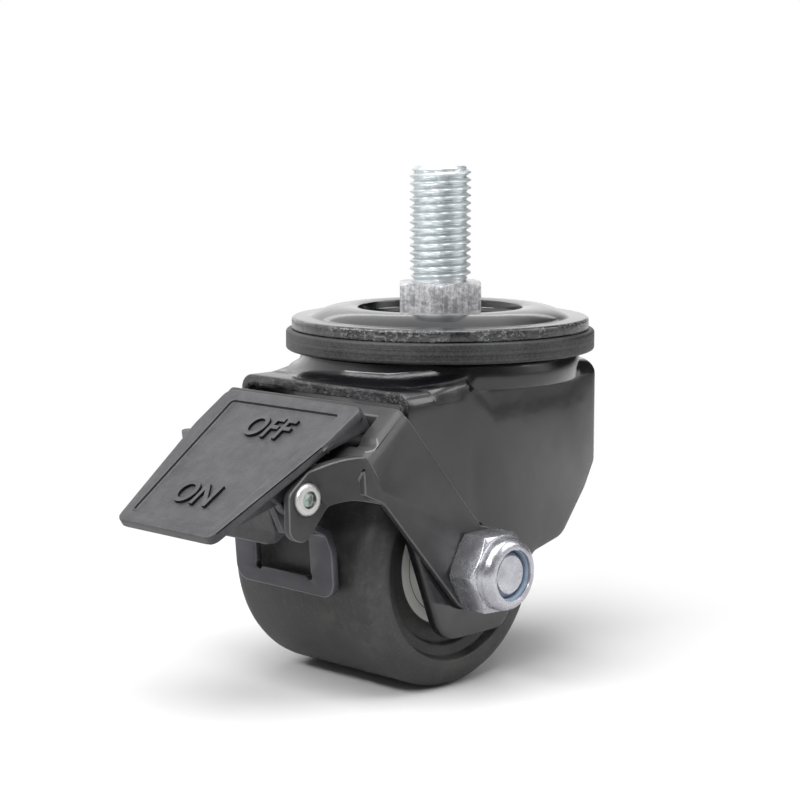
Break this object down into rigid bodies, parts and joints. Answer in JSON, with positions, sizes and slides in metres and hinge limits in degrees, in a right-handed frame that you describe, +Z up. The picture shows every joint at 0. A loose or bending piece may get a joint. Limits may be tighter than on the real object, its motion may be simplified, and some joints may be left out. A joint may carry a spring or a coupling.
{
  "type": "low-profile swivel castor",
  "caption": "Low-profile swivel castor with a threaded stem, a pressed swivel head on ball races, a wide black nylon wheel on ball bearings and a pedal brake.",
  "frame": {"origin": "on the swivel axis, at the top face of the stem's hexagon", "axes": "+Z up along the threaded stem, the wheel's axle along Y with its lock nut on the -Y side, and the brake pedal towards -X"},
  "size_m": [0.1354, 0.0844, 0.1302],
  "materials": {
    "zinc": "bright zinc plating with faint machining marks",
    "black_paint": "glossy black paint on pressed steel",
    "satin_black": "satin black coating on folded sheet",
    "seal": "matt dark grey moulding",
    "bearing_steel": "ground and polished bearing steel",
    "race_steel": "plain pressed or drawn steel",
    "insert": "translucent pale blue nylon",
    "cage": "pressed steel",
    "shield": "light warm grey pressed shield",
    "wheel_nylon": "matt black nylon",
    "pedal_nylon": "grey-black moulded nylon with a fine texture"
  },
  "bodies": {
    "mount": {"threaded_stem": "zinc", "top_plate": "black_paint", "seal_ring": "seal", "lower_race": "race_steel", "king_pin_nut": "zinc"},
    "fork": {"fork": "black_paint", "brake_bracket": "satin_black", "axle_bolt": "zinc", "axle_nut": "zinc", "nut_insert": "insert", "axle_spacers": "zinc", "axle_sleeve": "race_steel", "bearing_inner_rings": "bearing_steel", "pedal_rivet": "zinc", "upper_balls": "bearing_steel", "lower_balls": "bearing_steel"},
    "wheel": {"wheel": "wheel_nylon", "bearing_outer_rings": "bearing_steel", "bearing_shields": "shield", "bearing_balls": "bearing_steel", "bearing_cages": "cage"},
    "pedal": {"brake_pedal": "pedal_nylon"},
    "brake_plate": {"brake_plate": "satin_black"}
  },
  "joints": [
    {"name": "swivel", "type": "hinge", "parent": "mount", "child": "fork", "pos_m": [0, 0, -0.02], "axis": [0, 0, 1], "continuous": true},
    {"name": "wheel_spin", "type": "hinge", "parent": "fork", "child": "wheel", "pos_m": [-0.0204, 0, -0.06851], "axis": [0, 1, 0], "continuous": true},
    {"name": "pedal_tilt", "type": "hinge", "parent": "fork", "child": "pedal", "pos_m": [-0.0693, 0, -0.0459], "axis": [0, -1, 0], "range_deg": [0, 20]},
    {"name": "brake_press", "type": "hinge", "parent": "fork", "child": "brake_plate", "pos_m": [-0.0693, 0, -0.0459], "axis": [0, -1, 0], "range_deg": [0, 3.8]}
  ],
  "couplings": [
    {"joint": "brake_press", "follows": "pedal_tilt", "ratio": 0.19}
  ]
}
